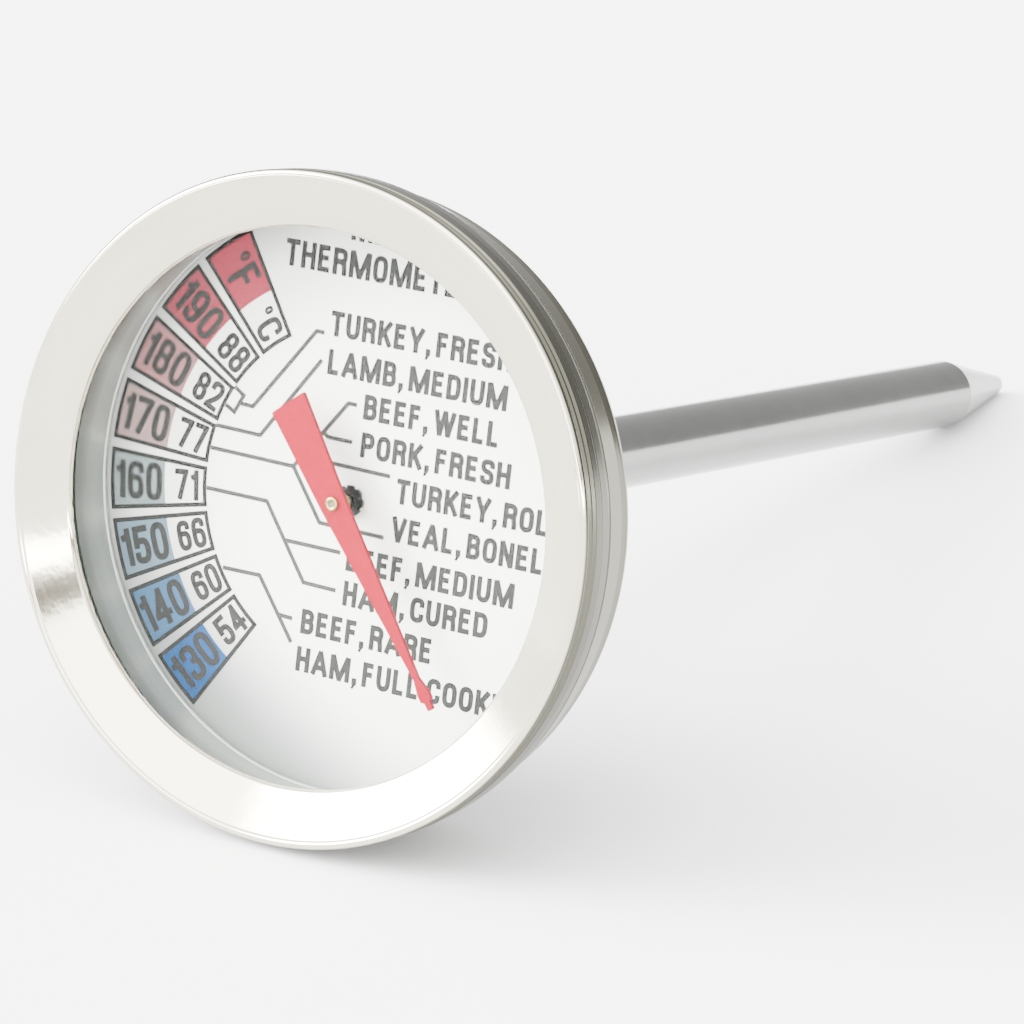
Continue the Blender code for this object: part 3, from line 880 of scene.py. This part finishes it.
def build_labels():
    """The meat names and the leader lines that tie them to the scale."""
    words = bmesh.new()
    lettering(words, "MEAT", (-2.6, 20.3), 0.0, HEADING_LETTERS)
    lettering(words, "THERMOMETER", (-8.2, 17.5), 0.0, HEADING_LETTERS)
    for text, x, y in LABELS:
        lettering(words, text, (x, y), 0.0, LABEL_LETTERS)
    printed("meat_labels", words, INK_DARK, 1)
    lines = bmesh.new()
    for order, points in enumerate(LEADERS):
        ribbon(lines, points, LEADER_WIDTH, order * LEADER_STEP)
    printed("leader_lines", lines, INK_LEADER, 2)


# ---------------------------------------------------------------- movement


def build_pointer():
    """The pointer: a tail cut a little askew, a long taper and a spade-shaped tip."""
    needle = [(0.00, 1.15), (14.50, 0.225), (15.70, 0.50)]
    needle += [(16.30, 0.50), (16.36, 0.25), (17.05, 0.25)]
    right = [(-8.38, 1.90)] + needle
    left = [(-8.33, -1.39)] + [(along, -across) for along, across in needle]
    outline = rounded(left + right[::-1], 0.1, steps=3)
    thickness = 0.35
    data = flat_mesh([outline, circle(0.44)], thickness)
    data.transform(lowered(POINTER_DEPTH + thickness, POINTER_ANGLE))
    piece = mesh_piece("pointer_hand", data, MOVING, PAINT)
    edge = piece.modifiers.new("Edge", "BEVEL")
    edge.width = 0.04 * MM
    edge.segments = 2
    edge.limit_method = "ANGLE"
    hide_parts("pointer")


def build_spindle():
    """The eyelet that holds the pointer, and the shaft below it."""
    head = arc((0.45, 5.29), 0.09, -90, 60, 4)
    hub = [(0.24, 5.22), (0.40, 5.18)] + head + [(0.5, 5.39), (0.4, 5.39), (0.4, 5.82)]
    hub += [(0.62, 5.82), (0.62, 7.0), (0.24, 7.0)]
    piece = turned("hub_eyelet", rounded(hub, 0.05), MOVING, BRASS_EYELET, 64)
    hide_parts("pointer_hub")

    shaft = [(0.0, 5.24), (0.17, 5.24), (0.21, 5.28), (0.21, 7.1), (0.45, 7.1)]
    shaft += [(0.5, 7.15), (0.5, 68.6), (0.45, 68.7), (0.0, 68.7)]
    piece = turned("shaft_rod", shaft, MOVING, STEEL_STEM, 48)
    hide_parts("pointer_shaft")


def build_coil():
    """The bimetal strip wound as a helix: it twists between the pointer's shaft and the stem."""
    turns = 22
    per_turn = 32
    radius = 1.55
    top = 69.4
    foot = 100.6
    half_width = 0.55
    half_thickness = 0.09
    data = bmesh.new()
    count = turns * per_turn + 1
    rings = []
    for index in range(count):
        turn = 2 * math.pi * index / per_turn
        depth = top + half_width + (foot - top - 2 * half_width) * index / (count - 1)
        ring = []
        for out, down in ((-1, -1), (1, -1), (1, 1), (-1, 1)):
            reach = (radius + out * half_thickness) * MM
            z = -(depth + down * half_width) * MM
            ring.append(data.verts.new((reach * math.cos(turn), reach * math.sin(turn), z)))
        rings.append(ring)
    skin(data, rings)
    bmesh.ops.recalc_face_normals(data, faces=data.faces)
    piece = mesh_piece("coil_strip", data, None, BIMETAL)
    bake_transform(piece)
    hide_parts("bimetal_coil")


# ---------------------------------------------------------------- stem


def build_stem():
    """The bush on the back of the head, the tube and its rounded conical point."""
    bush = [(4.4, 9.0), (4.4, 11.8), (6.5, 11.8), (6.5, 13.0), (6.1, 13.4), (4.4, 13.4)]
    bush += [(4.4, 17.6), (4.0, 18.0), (3.35, 18.0), (3.35, 9.0)]
    piece = turned("stem_bush", rounded(bush, 0.25), CASE, STEEL_TURNED, 96)
    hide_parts("stem_head")

    end = CONE_DEPTH - 0.91
    tube = [(STEM_RADIUS, 9.2), (STEM_RADIUS, end), (2.4, end), (2.4, 9.2)]
    piece = turned("probe_tube", tube, CASE, STEEL_STEM, 96)
    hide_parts("stem_tube")

    shoulder = CONE_DEPTH - 0.9
    nose_centre = (0.0, STEM_LENGTH - NOSE_RADIUS)
    nose = arc(nose_centre, NOSE_RADIUS, 11, 90, 10)[:-1] + [(0.0, STEM_LENGTH)]
    plug = [(0.0, shoulder - 2.5), (2.1, shoulder - 2.5), (2.1, shoulder)]
    cone = [(STEM_RADIUS, shoulder), (STEM_RADIUS, CONE_DEPTH), nose[0]]
    bend = rounded(cone, 0.9, closed=False, steps=8)
    profile = plug + bend + nose[1:]
    piece = turned("probe_point", profile, CASE, STEEL_STEM, 96)
    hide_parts("stem_tip")


def dress_cad_nodes():
    """Materials for the hidden CAD pieces that stay as they are."""
    kept = {
        "stem_head_washer": STEEL_TURNED,
        "stem_lock_nut": STEEL_TURNED,
        "upper_bearing": BRASS_BEARING,
        "shaft_guide_upper": BRASS_BEARING,
        "shaft_guide_lower": BRASS_BEARING,
        "coil_collar": STEEL_TURNED,
        "coil_anchor": STEEL_TURNED,
    }
    for name, material in kept.items():
        mesh = frame["nodes"][name].data
        mesh.materials.clear()
        mesh.materials.append(material)


# ---------------------------------------------------------------- studio

# The floor's corners are in metres; it lies this many millimetres under the thermometer
FLOOR_CORNERS = ((-1.2, -1.2, 0.0), (1.2, -1.2, 0.0), (1.2, 0.27, 0.0), (-1.2, 0.27, 0.0))
FLOOR_GAP = 0.1

# Parts of the sky, as limits on a direction's x, y or z; a band has a start, an end and a softness
KEY_DIRECTION = (-0.76, -0.48, 0.44)
KEY_EDGE = (0.925, 0.985)
RIGHT_EDGE = (0.10, 0.45)
BAND_EDGE = (-0.35, -0.20)
STRIP_BAND = (0.205, 0.262, 0.008)
GAP_BAND = (0.268, 0.345, 0.007)
HIGH_EDGE = (0.26, 0.36)
TOP_BACK_EDGE = (0.50, 0.90)
FRONT_EDGE = (0.25, -0.15)

# How bright each part is; the camera itself sees an even backdrop
LIGHT_KEY = 85.0
LIGHT_HIGH = 16.0
LIGHT_RIGHT = 6.0
LIGHT_LOW = 7.0
LIGHT_STRIP = 40.0
LIGHT_GAP = 0.3
LIGHT_BACK = 1.1
LIGHT_TOP_BACK = 6.0
BACKDROP = 7.0


def build_floor():
    """A wide pale floor."""
    data = bmesh.new()
    corners = [data.verts.new(place) for place in FLOOR_CORNERS]
    data.faces.new(corners)
    mesh = bpy.data.meshes.new("floor")
    data.to_mesh(mesh)
    data.free()
    mesh.materials.append(floor_material())
    floor = bpy.data.objects.new("floor", mesh)
    floor.location.z = -FLOOR_GAP * MM
    bpy.context.scene.collection.objects.link(floor)


def build_world():
    """A soft studio: a key light, a bright and a dark band before the dial, dim behind it."""
    world = bpy.data.worlds.new("studio")
    bpy.context.scene.world = world
    world.use_nodes = True
    tree = world.node_tree
    background = tree.nodes["Background"]

    def node(kind, inputs=None, **settings):
        return add_node(tree, kind, inputs, **settings).outputs

    def fade(value, start, end):
        return smooth_step(tree, value, start, end)

    def mix(factor, first, second):
        return node("ShaderNodeMix", {0: factor, 2: first, 3: second})[0]

    def both(first, second):
        return node("ShaderNodeMath", {0: first, 1: second}, operation="MULTIPLY")[0]

    def band(value, start, end, soft):
        return both(fade(value, start - soft, start + soft), fade(value, end + soft, end - soft))

    direction = node("ShaderNodeTexCoord")["Generated"]
    x, y, z = node("ShaderNodeSeparateXYZ", {0: direction})
    aim = {0: direction, 1: KEY_DIRECTION}
    toward_key = node("ShaderNodeVectorMath", aim, operation="DOT_PRODUCT")["Value"]
    high = mix(fade(x, *RIGHT_EDGE), LIGHT_HIGH, LIGHT_RIGHT)
    banded = fade(x, *BAND_EDGE)
    strip = both(band(z, *STRIP_BAND), banded)
    gap = both(band(z, *GAP_BAND), banded)
    front = mix(fade(z, *HIGH_EDGE), LIGHT_LOW, high)
    front = mix(gap, mix(strip, front, LIGHT_STRIP), LIGHT_GAP)
    front = mix(fade(toward_key, *KEY_EDGE), front, LIGHT_KEY)
    back = mix(fade(z, *TOP_BACK_EDGE), LIGHT_BACK, LIGHT_TOP_BACK)
    strength = mix(fade(y, *FRONT_EDGE), back, front)
    camera = node("ShaderNodeLightPath")["Is Camera Ray"]
    tree.links.new(mix(camera, strength, BACKDROP), background.inputs["Strength"])
    background.inputs["Color"].default_value = (1.0, 0.995, 0.985, 1.0)


def build_camera():
    """The camera, placed and aimed in the dial's frame and rolled so that the table is level."""
    place = Vector(CAMERA_PLACE)
    away = (place - Vector(CAMERA_AIM)).normalized()
    across = Vector((0.0, 1.0, 0.0)).cross(away).normalized()
    turn = Matrix((across, away.cross(across), away)).transposed().to_4x4()
    data = bpy.data.cameras.new("camera")
    data.lens = CAMERA_LENS
    data.sensor_width = 36.0
    data.clip_start = 0.01
    data.clip_end = 20.0
    camera = bpy.data.objects.new("camera", data)
    roll = Matrix.Rotation(math.radians(CAMERA_ROLL), 4, "Z")
    camera.matrix_world = DIAL @ Matrix.Translation(place * MM) @ turn @ roll
    bpy.context.scene.collection.objects.link(camera)
    bpy.context.scene.camera = camera


build_camera()
build_world()
build_floor()
build_bezel()
build_case()
build_lens()
build_reflector()
build_dial()
build_scale()
build_labels()
build_pointer()
build_spindle()
build_coil()
build_stem()
dress_cad_nodes()
